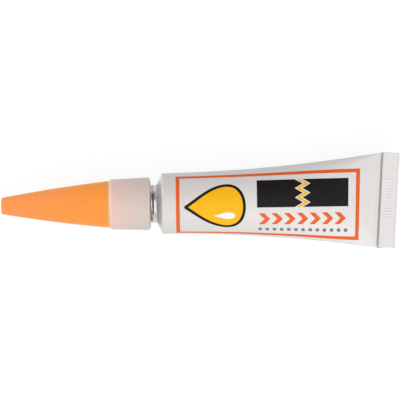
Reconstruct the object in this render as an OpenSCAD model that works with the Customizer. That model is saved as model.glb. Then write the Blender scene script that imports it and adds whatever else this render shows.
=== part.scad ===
// Super glue tube: a crimped aluminium tube, a screw-down piercing nozzle and
// a pull-off cap. It lies along X with the cap towards -X and the printed face
// up. The origin is on the surface it lies on, under the middle of its length.
// Every size is in millimetres.

/* [Sleeve] */
// Outside diameter of the round end of the sleeve
body_d = 13; // [11.5:0.1:16]
// Thickness of the aluminium sheet
wall = 0.15; // [0.1:0.01:0.25]
// Length from the shoulder edge to the fold line of the tail
sleeve_l = 46.8; // [36:0.2:60]
// How late the sleeve widens on its way to the tail
width_power = 1.9; // [1.5:0.1:2.5]
// How late the sleeve flattens on its way to the tail
flat_power = 3; // [2:0.1:4]
// Length over which the underside of the soft sleeve lies level
level_l = 17.3; // [12:0.1:22]
// Width of the flat that it lies on
rest_w = 2.9; // [2.4:0.1:3.4]
// Depth of the hollow along the middle of that flat
rest_hollow = 0.05; // [0.02:0.01:0.1]

/* [Tail fold] */
// Width of the folded strip along the tube
fold_w = 3.5; // [2.5:0.1:5]
// Angle by which the strip is folded askew
fold_skew = 4; // [0:0.5:6]
// Gap left between the folded layers
fold_gap = 0.05; // [0.03:0.01:0.1]
// Thickness that the lacquer adds to a pressed double layer
lacquer_t = 0.04; // [0.02:0.01:0.08]
// Length over which the walls are pressed together ahead of the fold
pinch_l = 0.2; // [0.1:0.05:0.4]
// Length of the sealing band inside the tail
seal_l = 2.4; // [1.5:0.1:4]
// Gap round the sealing band
seal_gap = 0.03; // [0.02:0.01:0.05]

/* [Shoulder and neck] */
// Height of the conical shoulder along the axis
shoulder_h = 1.2; // [0.8:0.1:2]
// Thickness of the shoulder along the axis
shoulder_t = 0.45; // [0.3:0.05:0.6]
// Height of the small step where the shoulder leaves the sleeve
edge_h = 0.05; // [0.02:0.01:0.1]
// Thickness of the rim that joins the shoulder to the inside of the sleeve
rim_t = 0.25; // [0.15:0.05:0.4]
// Length of that rim below the shoulder
rim_l = 0.2; // [0.1:0.05:0.4]
// Diameter over the neck thread
neck_d = 8; // [7:0.1:9]
// Length of the neck from the shoulder to the mouth
neck_l = 7.8; // [6:0.1:10]
// Thickness of the neck under its thread
neck_wall = 0.6; // [0.4:0.05:0.8]
// Radial step from the thread up to the plain foot of the neck
foot_step = 0.05; // [0.02:0.01:0.15]
// Length of the plain foot of the neck
foot_l = 0.75; // [0.5:0.05:1]
// Thickness of the lip round the membrane
lip_t = 0.25; // [0.15:0.05:0.4]
// Chamfer at the rim of the mouth
mouth_chamfer = 0.3; // [0.1:0.05:0.4]

/* [Thread] */
// Thread pitch
thread_pitch = 1.25; // [1.1:0.05:1.5]
// Depth of the thread ridge
thread_depth = 0.5; // [0.35:0.05:0.6]
// Width of a thread ridge at its foot
ridge_foot_w = 0.6; // [0.45:0.01:0.65]
// Width of a thread ridge at its crest
ridge_crest_w = 0.25; // [0.15:0.01:0.35]
// Radial play between the two threads
thread_play = 0.1; // [0.08:0.01:0.15]

/* [Membrane and adhesive] */
// Diameter of the membrane that the spike breaks through
membrane_d = 3.2; // [2.8:0.1:3.6]
// Thickness of the membrane
membrane_t = 0.1; // [0.08:0.01:0.15]
// Gap round the membrane
membrane_gap = 0.05; // [0.03:0.01:0.08]
// Gap round the adhesive inside the sleeve
fill_gap = 0.1; // [0.05:0.01:0.2]
// Height of the air above the adhesive
headspace = 5.4; // [3:0.1:7]
// Distance from the adhesive to the fold line of the tail
fill_stop = 7; // [5:0.5:15]

/* [Nozzle] */
// Distance that the nozzle screws down to break the membrane
screw_travel = 1.35; // [1:0.05:1.6]
// Gap left between collar and shoulder when it is screwed down
stop_gap = 0.05; // [0.03:0.01:0.1]
// Thickness of the collar over its thread groove
collar_wall = 1.55; // [1.2:0.05:2]
// Loss of collar radius towards the cap, which lets it leave its mould
collar_draft = 0.3; // [0.1:0.05:0.4]
// Length of the bevel at the collar's foot
bevel_l = 0.35; // [0.2:0.05:0.5]
// Depth of the bevel at the collar's foot
bevel_t = 0.7; // [0.4:0.05:0.9]
// Chamfer at the collar's cap end
collar_chamfer = 0.3; // [0.1:0.05:0.4]
// Thickness of the wall between the collar's socket and the cap's seat
end_wall = 0.9; // [0.7:0.05:1.5]
// Height of the ring that the cap seats on
seat_h = 0.3; // [0.2:0.05:0.5]
// Length of the plain land that grips the cap
land_l = 3; // [2:0.1:4]
// Length of the spout from the cap's seat to its tip
spout_l = 21.5; // [17:0.5:26]
// Bulge of the spout's and cap's sides, as a share of their taper
bulge = 0.25; // [0:0.05:0.4]
// Diameter of the outlet at the tip
outlet_d = 0.8; // [0.6:0.05:1]
// Length of the narrow outlet at the tip
outlet_l = 5; // [3:0.5:7]
// Thickness of the spout round the outlet
tip_wall = 0.35; // [0.25:0.05:0.5]
// Diameter of the channel at the root of the spout
channel_d = 1.8; // [1.4:0.1:2.2]
// Diameter of the bore through the piercing spike
spike_bore_d = 1; // [0.8:0.1:1.1]
// Thickness of the piercing spike at its point
spike_wall = 0.25; // [0.2:0.05:0.3]
// Gap between the spike and the edge of the broken membrane
spike_room = 0.1; // [0.05:0.01:0.2]
// Slope of the cut that sharpens the spike
spike_slope = 30; // [20:1:40]
// Gap between the point of the spike and the membrane
spike_gap = 0.08; // [0.05:0.01:0.12]

/* [Cap] */
// Cap diameter at its open end
cap_d = 10; // [9.5:0.1:10.4]
// Thickness of the cap's wall
cap_wall = 0.95; // [0.8:0.05:1.1]
// Thickness of the cap's end
cap_end = 1; // [0.8:0.1:1.5]
// Rounding at the cap's tip
cap_edge = 0.4; // [0.2:0.05:0.6]
// Gap between the spout and the inside of the cap
spout_gap = 0.3; // [0.2:0.05:0.4]
// Gap between the spout's tip and the inside of the cap's end
tip_gap = 0.4; // [0.2:0.1:0.6]
// Length of the stopper pin inside the outlet
stopper_l = 1; // [0.5:0.1:2]
// Radial gap between cap and nozzle where the cap grips
cap_fit = 0.05; // [0.03:0.01:0.08]
// Gap between the cap's rim and its seat
rim_gap = 0.02; // [0.01:0.01:0.05]

/* [Hidden] */
$fn = 96;

// Points in a ring of the sleeve, how its rings crowd to the tail and how late they skew
SLEEVE_SIDES = 37;
RING_CROWDING = 1.6;
SKEW_POWER = 6;
// Length over which the flat grows out of the round shoulder edge
FLAT_GROWTH = 2;
// Rings along the sleeve, its sealing band and its filling
SLEEVE_RINGS = 16;
SEAL_RINGS = 3;
FILL_RINGS = 9;
// Sides of one thread turn, the share of a turn over which a ridge fades in, and
// the share of its height that it starts with
THREAD_SIDES = 20;
FADE_TURNS = 0.3;
FADE_START = 0.1;
// How far a thread ridge is rooted in the wall that carries it
ROOTED = 0.12;
// Steps along the curved sides of spout and cap, and round the cap's edge
CURVE_STEPS = 12;
EDGE_STEPS = 5;
// How far a cut runs past the face that it opens
CUT = 1;

// Radii
body_r = body_d / 2;
neck_r = neck_d / 2;
core_r = neck_r - thread_depth;
neck_bore_r = core_r - neck_wall;
foot_r = neck_r + foot_step;
groove_r = neck_r + thread_play;
ridge_r = core_r + thread_play;
socket_mouth_r = foot_r + thread_play;
membrane_r = membrane_d / 2;
lip_hole_r = membrane_r + membrane_gap;
shoulder_r = body_r - wall / 2;
rim_r = body_r - wall - rim_t;
collar_r = groove_r + collar_wall;
collar_end_r = collar_r - collar_draft;
cap_r = cap_d / 2;
cap_bore_r = cap_r - cap_wall;
spout_root_r = cap_bore_r - spout_gap;
spout_tip_r = outlet_d / 2 + tip_wall;

// Heights along the axis from the shoulder edge, rising towards the cap
rim_z = -shoulder_t - rim_l;
foot_z = shoulder_h + foot_l;
mouth_z = shoulder_h + neck_l;
collar_z = shoulder_height(socket_mouth_r) + stop_gap + screw_travel;
step_z = foot_z + screw_travel + thread_play;
socket_z = mouth_z + screw_travel + thread_play;
flange_z = socket_z + end_wall;
seat_z = flange_z + seat_h;
spout_z = seat_z + spout_l;
cap_rim_z = seat_z + rim_gap;
cap_inner_z = spout_z + tip_gap;
cap_z = cap_inner_z + cap_end;
thread_z = foot_z + ridge_foot_w / 2;
thread_end_z = mouth_z - mouth_chamfer - ridge_foot_w / 2;

// Half of the angle that the sleeve's flat takes up, and the angle from point to point round the rest
rest_angle = atan(rest_w / body_d);
side_angle = (360 - 2 * rest_angle) / (SLEEVE_SIDES - 2);

// Width of the pressed tail, which keeps the sleeve's girth
tail_w = PI * body_r;
// Middle of the folded strip, and its furthest corner
strip_x = sleeve_l + fold_w / 2;
corner_x = strip_x + fold_w / 2 * cos(fold_skew) + tail_w / 2 * sin(fold_skew);

// Place of the part: on the surface it lies on, and centred along X
shoulder_x = (cap_z - corner_x) / 2;
axis_z = body_r;

// Thickness of one pressed double layer, and the step from layer to layer
layer_t = 2 * wall + lacquer_t;
layer_step = layer_t + fold_gap;
// Liquid level above the axis
fill_z = body_r - wall - headspace;

// Height of the shoulder's cone at a radius
function shoulder_height(r) =
    edge_h + (shoulder_h - edge_h) * (shoulder_r - r) / (shoulder_r - foot_r);

// Half width and half height of the sleeve at a share s of its length
function half_width(s) = body_r + (tail_w / 2 - body_r) * pow(s, width_power);
function half_height(s) = wall + (body_r - wall) * (1 - pow(s, flat_power));

// Radius of the spout at a height, and of the cap, which keeps its distance
function spout_side(z) =
    let (t = (spout_z - z) / spout_l)
    spout_tip_r + (spout_root_r - spout_tip_r) * (t + bulge * t * (1 - t));
function cap_inside(z) = spout_side(z) + spout_gap;
function cap_side(z) = cap_inside(z) + cap_wall;

// Evenly spaced values from a to b
function steps(a, b, count) = [for (i = [0:count]) a + (b - a) * i / count];

// Places of rings along the sleeve from x0 to x1
function stations(x0, x1, count) =
    [for (t = steps(0, 1, count)) x0 + (x1 - x0) * (1 - pow(1 - t, RING_CROWDING))];

// How far the middle of the sleeve sags at a share s of its length to lie level
function sag(s) =
    let (t = min(1, max(0, (s * sleeve_l - level_l) / (sleeve_l - level_l))))
    (body_r - half_height(s)) * (1 - t * t * (3 - 2 * t));

// Angle of point i of a ring, and how far out of the round outline it lies, where
// the flat has grown to a share. The last point is the middle of the flat, its two
// neighbours are the flat's ends, and the other sides touch the outline from outside.
function ring_corner(i, share) =
    i == SLEEVE_SIDES - 1 ? [-90, 1 - share * rest_hollow / body_r]
    : i == 0 || i == SLEEVE_SIDES - 2
        ? [rest_angle - 90 + i * side_angle, 1 + share * (1 / cos(rest_angle) - 1)]
        : [rest_angle - 90 + i * side_angle, 1 / cos(side_angle / 2)];

// Ring of points round the sleeve at x, taken in by inset and cut off at a level
function sleeve_ring(x, inset, level) =
    let (
        s = min(1, x / sleeve_l),
        w = half_width(s) - inset,
        h = half_height(s) - inset,
        skew = tan(fold_skew) * pow(s, SKEW_POWER))
    [for (i = [0:SLEEVE_SIDES - 1])
        let (
            corner = ring_corner(i, min(1, x / FLAT_GROWTH)),
            y = corner[1] * w * cos(corner[0]),
            z = corner[1] * h * sin(corner[0]) - sag(s))
        [x + skew * y, y, min(level, z)]];

// Triangles that join the rings of n points that start at points a and b
function band(a, b, n) =
    [for (i = [0:n - 1], first = [true, false])
        let (j = (i + 1) % n)
        first ? [a + i, b + j, a + j] : [a + i, b + i, b + j]];

// Bands along a row of rings of n points, from point a on
function bands(a, rings, n) = [for (i = [0:rings - 2]) each band(a + i * n, a + (i + 1) * n, n)];

// Triangles that close the ring of n points that starts at point a
function lid(a, n) = [for (i = [1:n - 2]) [a, a + i, a + i + 1]];

// The same triangles seen from the other side
function flipped(faces) = [for (f = faces) [f[2], f[1], f[0]]];

// Puts a shape made round +Z from the shoulder edge on the tube's axis
module on_axis() {
    translate([shoulder_x, 0, axis_z]) rotate([0, -90, 0]) children();
}

// Puts a shape made along +X from the shoulder edge on the tube's axis
module on_sleeve() {
    translate([shoulder_x, 0, axis_z]) children();
}

// Solid inside the sleeve from x0 to x1, taken in by inset and cut off at a level
module sleeve_filling(x0, x1, rings, inset, level) {
    n = SLEEVE_SIDES;
    xs = stations(x0, x1, rings);
    points = [for (x = xs) each sleeve_ring(x, inset, level)];
    last = (len(xs) - 1) * n;
    polyhedron(points, concat(bands(0, len(xs), n), lid(0, n), flipped(lid(last, n))));
}

// Thin sleeve, open at the shoulder, pressed shut at the tail and rooted in the fold
module sleeve() {
    n = SLEEVE_SIDES;
    outer_xs = concat(stations(0, sleeve_l, SLEEVE_RINGS), [sleeve_l + fold_w / 4]);
    inner_xs = stations(0, sleeve_l - pinch_l, SLEEVE_RINGS);
    points = concat(
        [for (x = outer_xs) each sleeve_ring(x, 0, body_r)],
        [for (x = inner_xs) each sleeve_ring(x, wall, body_r)]);
    inner = len(outer_xs) * n;
    inner_last = inner + (len(inner_xs) - 1) * n;
    polyhedron(points, concat(
        bands(0, len(outer_xs), n),
        flipped(bands(inner, len(inner_xs), n)),
        flipped(band(0, inner, n)),
        flipped(lid(inner - n, n)),
        lid(inner_last, n)));
}

// Flat stretch of a double layer between two places along the tube
module layer(x0, x1, height) {
    translate([x0, height - layer_t / 2]) square([x1 - x0, layer_t]);
}

// Half ring that turns a double layer back on itself
module bend(r) {
    outer_r = r + layer_t / 2;
    intersection() {
        difference() {
            circle(outer_r);
            circle(r - layer_t / 2);
        }
        translate([0, -outer_r]) square([outer_r, 2 * outer_r]);
    }
}

// Tail strip, folded over twice towards the printed face
module tail_fold() {
    crease_r = layer_step / 2;
    bend_x = sleeve_l + fold_w - layer_step - layer_t / 2;
    crease_x = sleeve_l + crease_r + layer_t / 2;
    translate([strip_x, 0, 0]) rotate([0, 0, -fold_skew]) translate([-strip_x, 0, 0])
        rotate([90, 0, 0])
            linear_extrude(tail_w, center = true) {
                layer(sleeve_l, bend_x, 0);
                layer(crease_x, bend_x - layer_t / 2, layer_step);
                layer(crease_x, bend_x, 2 * layer_step);
                translate([bend_x, layer_step]) bend(layer_step);
                translate([crease_x, layer_step + crease_r]) mirror([1, 0]) bend(crease_r);
            }
}

// Helical ridge from foot radius to crest radius. Ridges with one reference keep in step.
module thread_ridge(z0, z1, reference, foot, crest) {
    fade = FADE_TURNS * thread_pitch;
    zs = steps(z0, z1, ceil(THREAD_SIDES * (z1 - z0) / thread_pitch));
    points = [for (z = zs)
        let (
            a = 360 * (z - reference) / thread_pitch,
            rise = min(1, (z - z0) / fade, (z1 - z) / fade),
            top = foot + (crest - foot) * (FADE_START + (1 - FADE_START) * rise),
            corners = [
                [foot, -ridge_foot_w / 2],
                [top, -ridge_crest_w / 2],
                [top, ridge_crest_w / 2],
                [foot, ridge_foot_w / 2]])
        each [for (p = corners) [p[0] * cos(a), p[0] * sin(a), z + p[1]]]];
    last = (len(zs) - 1) * 4;
    faces = concat(bands(0, len(zs), 4), lid(0, 4), flipped(lid(last, 4)));
    polyhedron(points, crest > foot ? flipped(faces) : faces);
}

// Shoulder, threaded neck and mouth, with the rim that joins them to the sleeve
module head() {
    rotate_extrude()
        polygon([
            [rim_r, rim_z], [shoulder_r, rim_z], [shoulder_r, edge_h],
            [foot_r, shoulder_h], [foot_r, foot_z], [core_r, foot_z + foot_r - core_r],
            [core_r, mouth_z - mouth_chamfer], [core_r - mouth_chamfer, mouth_z],
            [lip_hole_r, mouth_z], [lip_hole_r, mouth_z - lip_t],
            [neck_bore_r, mouth_z - lip_t], [neck_bore_r, shoulder_h - shoulder_t],
            [rim_r, -shoulder_t]]);
    thread_ridge(thread_z, thread_end_z, thread_z, core_r - ROOTED, neck_r);
}

module tube_shell() {
    color("gainsboro") {
        on_sleeve() sleeve();
        on_sleeve() tail_fold();
        on_axis() head();
    }
}

module tail_seal() {
    seal_x = sleeve_l - 2 * pinch_l;
    color("tan") on_sleeve()
        sleeve_filling(seal_x - seal_l, seal_x, SEAL_RINGS, wall + seal_gap, body_r);
}

module adhesive() {
    color("lightcyan") on_sleeve()
        sleeve_filling(fill_gap - rim_z, sleeve_l - fill_stop, FILL_RINGS, wall + fill_gap, fill_z);
}

module neck_membrane() {
    color("silver") on_axis()
        translate([0, 0, mouth_z - membrane_t]) cylinder(h = membrane_t, r = membrane_r);
}

// Piercing spike under the spout, sharpened by a sloping cut
module spike() {
    root_r = membrane_r - spike_room;
    tip_r = spike_bore_d / 2 + spike_wall;
    tip_z = mouth_z + spike_gap;
    difference() {
        translate([0, 0, tip_z])
            cylinder(h = socket_z - tip_z + end_wall / 2, r1 = tip_r, r2 = root_r);
        translate([tip_r, 0, tip_z]) rotate([0, spike_slope, 0])
            translate([-4 * root_r, -2 * root_r, -4 * root_r]) cube(4 * root_r);
    }
}

// Collar, cap seat, land and spout in one, without their channel
module nozzle_body() {
    land_r = cap_bore_r - cap_fit;
    spout_steps = steps(seat_z + land_l, spout_z, CURVE_STEPS);
    rotate_extrude()
        polygon(concat(
            [[0, socket_z], [groove_r, socket_z], [groove_r, step_z],
             [socket_mouth_r, step_z], [socket_mouth_r, collar_z],
             [collar_r - bevel_t, collar_z], [collar_r, collar_z + bevel_l],
             [collar_end_r, flange_z - collar_chamfer], [collar_end_r - collar_chamfer, flange_z],
             [cap_r, flange_z], [cap_r, seat_z], [land_r, seat_z],
             [land_r, seat_z + land_l - cap_fit]],
            [for (z = spout_steps) [spout_side(z), z]],
            [[0, spout_z]]));
    thread_ridge(
        step_z + ridge_foot_w / 2, thread_end_z, thread_z + thread_pitch / 2, groove_r + ROOTED, ridge_r);
}

// Way of the glue from the spike to the outlet
module channel() {
    outlet_z = spout_z - outlet_l;
    translate([0, 0, mouth_z]) cylinder(h = flange_z - mouth_z, d = spike_bore_d);
    translate([0, 0, flange_z]) cylinder(h = outlet_z - flange_z, d1 = channel_d, d2 = outlet_d);
    translate([0, 0, outlet_z]) cylinder(h = outlet_l + CUT, d = outlet_d);
}

module nozzle() {
    color("antiquewhite") on_axis()
        difference() {
            union() {
                nozzle_body();
                spike();
            }
            channel();
        }
}

module cap() {
    land_z = seat_z + land_l;
    tip_r = cap_side(cap_z - cap_edge);
    stopper_d = outlet_d - 2 * cap_fit;
    color("darkorange") on_axis() {
        rotate_extrude()
            polygon(concat(
                [[cap_bore_r, cap_rim_z]],
                [for (z = steps(cap_rim_z, cap_z - cap_edge, CURVE_STEPS)) [cap_side(z), z]],
                [for (a = steps(90 / EDGE_STEPS, 90, EDGE_STEPS - 1))
                    [tip_r - cap_edge * (1 - cos(a)), cap_z - cap_edge * (1 - sin(a))]],
                [[0, cap_z], [0, cap_inner_z]],
                [for (z = steps(cap_inner_z, land_z, CURVE_STEPS)) [cap_inside(z), z]],
                [[cap_bore_r, land_z]]));
        translate([0, 0, spout_z - stopper_l])
            cylinder(h = stopper_l + tip_gap + cap_end / 2, d = stopper_d);
    }
}

tube_shell();
tail_seal();
adhesive();
neck_membrane();
nozzle();
cap();
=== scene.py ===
"""Looks of the super glue tube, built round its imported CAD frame.

Shapes are worked out in millimetres. Their places along the tube are distances from the shoulder
edge: u runs from there towards the cap, and x runs towards the tail.
"""
import math

import bmesh
import bpy
import numpy as np
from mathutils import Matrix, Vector, noise
from mathutils.geometry import tessellate_polygon


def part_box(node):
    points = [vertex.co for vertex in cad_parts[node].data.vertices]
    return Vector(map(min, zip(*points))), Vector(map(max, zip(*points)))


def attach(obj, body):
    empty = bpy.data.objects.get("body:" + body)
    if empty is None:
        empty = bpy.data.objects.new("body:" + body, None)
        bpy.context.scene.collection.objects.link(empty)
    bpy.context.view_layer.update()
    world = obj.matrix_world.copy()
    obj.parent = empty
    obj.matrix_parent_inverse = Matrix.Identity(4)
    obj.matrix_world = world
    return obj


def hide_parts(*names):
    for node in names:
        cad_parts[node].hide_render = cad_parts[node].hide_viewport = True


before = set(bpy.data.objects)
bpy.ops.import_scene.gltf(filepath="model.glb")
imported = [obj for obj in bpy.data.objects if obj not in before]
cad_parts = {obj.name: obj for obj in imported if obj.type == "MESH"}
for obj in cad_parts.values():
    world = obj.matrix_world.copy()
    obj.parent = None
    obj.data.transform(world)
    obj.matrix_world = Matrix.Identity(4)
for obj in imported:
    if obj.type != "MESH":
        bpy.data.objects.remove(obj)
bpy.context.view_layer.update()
MM = 0.001

# Sleeve and tail fold, as in the CAD source
WALL = 0.15
SLEEVE_L = 46.8
WIDTH_POWER = 1.9
FLAT_POWER = 3
LEVEL_L = 17.3
PINCH_L = 0.2
FOLD_W = 3.5
FOLD_SKEW = math.radians(4)
SKEW_POWER = 6
LAYER_T = 2 * WALL + 0.04
LAYER_STEP = LAYER_T + 0.05
SEAL_L = 2.4
FILL_STOP = 7
HEADSPACE = 5.4

# Shoulder, neck and thread, as in the CAD source
SHOULDER_H = 1.2
SHOULDER_T = 0.45
EDGE_H = 0.05
RIM_T = 0.25
RIM_L = 0.2
NECK_R = 4
NECK_L = 7.8
NECK_WALL = 0.6
FOOT_STEP = 0.05
FOOT_L = 0.75
LIP_T = 0.25
MOUTH_CHAMFER = 0.3
MEMBRANE_GAP = 0.05
PITCH = 1.25
THREAD_DEPTH = 0.5
RIDGE_FOOT_W = 0.6
THREAD_PLAY = 0.1

# Nozzle and cap, as in the CAD source
SCREW_TRAVEL = 1.35
COLLAR_WALL = 1.55
COLLAR_DRAFT = 0.3
BEVEL_L = 0.35
BEVEL_T = 0.7
COLLAR_CHAMFER = 0.3
END_WALL = 0.9
SEAT_H = 0.3
LAND_L = 3
BULGE = 0.25
OUTLET_R = 0.4
OUTLET_L = 5
TIP_WALL = 0.35
CHANNEL_R = 0.9
SPIKE_BORE_R = 0.5
SPIKE_WALL = 0.25
SPIKE_ROOM = 0.1
SPIKE_GAP = 0.08
CAP_R = 5
CAP_WALL = 0.95
CAP_EDGE = 0.4
SPOUT_GAP = 0.3
STOPPER_L = 1
CAP_FIT = 0.05

# Fineness of the meshes: points along or round a form, the longest step of a turned outline in
# millimetres, and the distance in metres under which points become one
SLEEVE_ROWS = 160
EDGE_ROWS = 6
SLEEVE_SIDES = 288
SECTION_STEPS = 2881
FILLING_ROWS = 40
FILLING_SIDES = SLEEVE_SIDES // 3
SPOUT_STEPS = 40
CAP_STEPS = 60
LATHE_SIDES = 160
LATHE_STEP = 0.5
ARC_STEPS = 7
THREAD_SIDES = 48
MERGE = 1e-7
# Smallest number that anything is divided by
TINY = 1e-12


def node_box(node):
    """Lowest and highest corner of a CAD node, in millimetres."""
    low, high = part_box(node)
    return np.array(low) / MM, np.array(high) / MM


# Places that the frame gives
membrane_low, membrane_high = node_box("neck_membrane")
nozzle_low, nozzle_high = node_box("nozzle")
cap_low, cap_high = node_box("cap")
MOUTH_U = SHOULDER_H + NECK_L
SHOULDER_X = membrane_low[0] + MOUTH_U
AXIS_Z = (membrane_low[2] + membrane_high[2]) / 2
COLLAR_U = SHOULDER_X - nozzle_high[0]
SPOUT_U = SHOULDER_X - nozzle_low[0]
CAP_RIM_U = SHOULDER_X - cap_high[0]
CAP_U = SHOULDER_X - cap_low[0]

# Sizes that follow from these
BODY_R = AXIS_Z
TAIL_W = math.pi * BODY_R
STRIP_X = SLEEVE_L + FOLD_W / 2
CORE_R = NECK_R - THREAD_DEPTH
FOOT_R = NECK_R + FOOT_STEP
FOOT_U = SHOULDER_H + FOOT_L
GROOVE_R = NECK_R + THREAD_PLAY
SOCKET_MOUTH_R = FOOT_R + THREAD_PLAY
STEP_U = FOOT_U + SCREW_TRAVEL + THREAD_PLAY
SOCKET_U = MOUTH_U + SCREW_TRAVEL + THREAD_PLAY
FLANGE_U = SOCKET_U + END_WALL
SEAT_U = FLANGE_U + SEAT_H
THREAD_U = FOOT_U + RIDGE_FOOT_W / 2
THREAD_END_U = MOUTH_U - MOUTH_CHAMFER - RIDGE_FOOT_W / 2
MEMBRANE_R = (membrane_high[2] - membrane_low[2]) / 2
CAP_BORE_R = CAP_R - CAP_WALL


# Meshes

def add_piece(name, points, faces, body, material, slot, stands_for=None, crease=32, normals=None):
    """Adds a mesh of points in millimetres, smooth except at edges sharper than crease degrees."""
    mesh = bpy.data.meshes.new(name)
    mesh.from_pydata((np.asarray(points) * MM).tolist(), [], faces)
    work = bmesh.new()
    work.from_mesh(mesh)
    if normals is None:
        bmesh.ops.remove_doubles(work, verts=work.verts, dist=MERGE)
    bmesh.ops.recalc_face_normals(work, faces=work.faces)
    work.to_mesh(mesh)
    work.free()
    mesh.shade_smooth()
    if normals is None:
        mesh.set_sharp_from_angle(angle=math.radians(crease))
    else:
        mesh.normals_split_custom_set_from_vertices(normals.tolist())
    mesh.materials.append(material)
    piece = bpy.data.objects.new(name, mesh)
    bpy.context.scene.collection.objects.link(piece)
    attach(piece, body)
    if stands_for:
        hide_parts(stands_for)
    return piece


def grid_faces(rows, columns, ring=True, loop=False):
    """Quads of a grid of points kept row by row.

    The rows of a ring are closed, and a loop joins its last row to its first.
    """
    faces = []
    for i in range(rows if loop else rows - 1):
        near, far = i * columns, (i + 1) % rows * columns
        for j in range(columns if ring else columns - 1):
            k = (j + 1) % columns
            faces.append((near + j, near + k, far + k, far + j))
    return faces


def outline(corners):
    """Points through corners of (radius, u, rounding), with rounded corners and no long steps."""
    corners = [np.array(c, float) for c in corners]
    points = []
    for i, corner in enumerate(corners):
        here, rounding = corner[:2], corner[2]
        if rounding == 0:
            points.append(here)
            continue
        before = corners[i - 1][:2] - here
        after = corners[(i + 1) % len(corners)][:2] - here
        start = here + before * rounding / np.linalg.norm(before)
        end = here + after * rounding / np.linalg.norm(after)
        for t in np.linspace(0, 1, ARC_STEPS):
            points.append((1 - t) ** 2 * start + 2 * t * (1 - t) * here + t ** 2 * end)
    dense = []
    for a, b in zip(points, points[1:]):
        parts = max(1, math.ceil(np.linalg.norm(b - a) / LATHE_STEP))
        dense.extend(a + (b - a) * k / parts for k in range(parts))
    return np.array(dense + [points[-1]])


def revolve(profile, loop):
    """Points and faces of a profile of (radius, u) points turned round the tube's axis."""
    angles = np.linspace(0, 2 * math.pi, LATHE_SIDES, endpoint=False)
    radius, u = profile[:, :1], profile[:, 1:]
    x = SHOULDER_X - u * np.ones(LATHE_SIDES)
    points = np.stack([x, radius * np.sin(angles), AXIS_Z + radius * np.cos(angles)], axis=-1)
    return points.reshape(-1, 3), grid_faces(len(profile), LATHE_SIDES, loop=loop)


# Thread ridge: places across its foot in half widths, how high it is there, the share of a turn
# in which it fades in or out, and the height that is left at its ends
RIDGE_ACROSS = np.array([-1, -0.72, -0.42, 0.42, 0.72, 1])
RIDGE_RISE = np.array([0, 0.5, 1, 1, 0.5, 0])
RIDGE_FADE = 0.3
RIDGE_END = 0.1


def helix(first, last, reference, foot, crest):
    """Points and faces of a thread ridge that fades in and out. Its foot is sunk in the wall under it."""
    count = math.ceil(THREAD_SIDES * (last - first) / PITCH)
    heights = np.linspace(first, last, count)
    angles = 2 * math.pi * (heights - reference) / PITCH
    fade = np.clip(np.minimum(heights - first, last - heights) / (RIDGE_FADE * PITCH), RIDGE_END, 1)
    across = RIDGE_ACROSS * RIDGE_FOOT_W / 2
    radius = foot + (crest - foot) * fade[:, None] * RIDGE_RISE
    x = SHOULDER_X - heights[:, None] - across
    y = radius * np.sin(angles)[:, None]
    z = AXIS_Z + radius * np.cos(angles)[:, None]
    size = len(across)
    faces = grid_faces(count, size)
    faces += [tuple(range(size)), tuple(range((count - 1) * size, count * size))]
    return np.stack([x, y, z], axis=-1).reshape(-1, 3), faces


# Sleeve surface

# How much and how late the sleeve's sides get fuller towards the tail, and how its shoulder edge
# is rounded
EDGE_FULLNESS = 0.25
EDGE_POWER = 6
SHOULDER_ROUNDING = 0.16
SHOULDER_DROP = 0.08
# Soft dents: their depth, their size, and how late they fade out towards the tail
DENT_DEPTH = 0.12
DENT_SIZE = 9
DENT_FADE_POWER = 12
# Valleys that run from the corners of the fold into the sleeve: their depth, where along the sleeve
# they start, their place across it and how far that moves out, their width, and how late they fade
VALLEY_DEPTH = 0.22
VALLEY_START = 0.72
VALLEY_MIDDLE = 0.5
VALLEY_SPREAD = 0.42
VALLEY_W = 0.085
VALLEY_FADE_POWER = 6
# Shallow crease beside the fold on the -Y side: its place, lean, depth, width and length
CREASE_X = 44.4
CREASE_Y = -3.5
CREASE_LEAN = 0.1
CREASE_DEPTH = 0.1
CREASE_W = 0.6
CREASE_SPAN = 4


def half_width(share):
    return BODY_R + (TAIL_W / 2 - BODY_R) * share ** WIDTH_POWER


def half_height(share):
    return WALL + (BODY_R - WALL) * (1 - share ** FLAT_POWER)


def sag(share):
    """How far the middle of the sleeve sags, so that its underside lies level."""
    past = min(1, max(0, (share * SLEEVE_L - LEVEL_L) / (SLEEVE_L - LEVEL_L)))
    return (BODY_R - half_height(share)) * (1 - past * past * (3 - 2 * past))


def section(x, inset, count):
    """Points round the sleeve at x, evenly spaced from the top line over +Y, and the girth there."""
    share = min(1, x / SLEEVE_L)
    fine = np.linspace(math.pi / 2, -1.5 * math.pi, SECTION_STEPS)
    edge = 1 - EDGE_FULLNESS * share ** EDGE_POWER
    height = np.sign(np.sin(fine)) * np.abs(np.sin(fine)) ** edge
    y = (half_width(share) - inset) * np.cos(fine)
    z = (half_height(share) - inset) * height - sag(share)
    arc = np.concatenate([[0], np.cumsum(np.hypot(np.diff(y), np.diff(z)))])
    even = np.linspace(0, arc[-1], count, endpoint=False)
    y, z = np.interp(even, arc, y), np.interp(even, arc, z)
    x = x + y * math.tan(FOLD_SKEW) * share ** SKEW_POWER
    return np.stack([SHOULDER_X + x, y, AXIS_Z + z], axis=-1), arc[-1]


def grid_normals(grid):
    """Outward normals of a grid of points whose rows close on themselves."""
    along = np.gradient(grid, axis=0)
    around = np.roll(grid, -1, axis=1) - np.roll(grid, 1, axis=1)
    normals = np.cross(along, around)
    return normals / np.maximum(np.linalg.norm(normals, axis=-1, keepdims=True), TINY)


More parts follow.
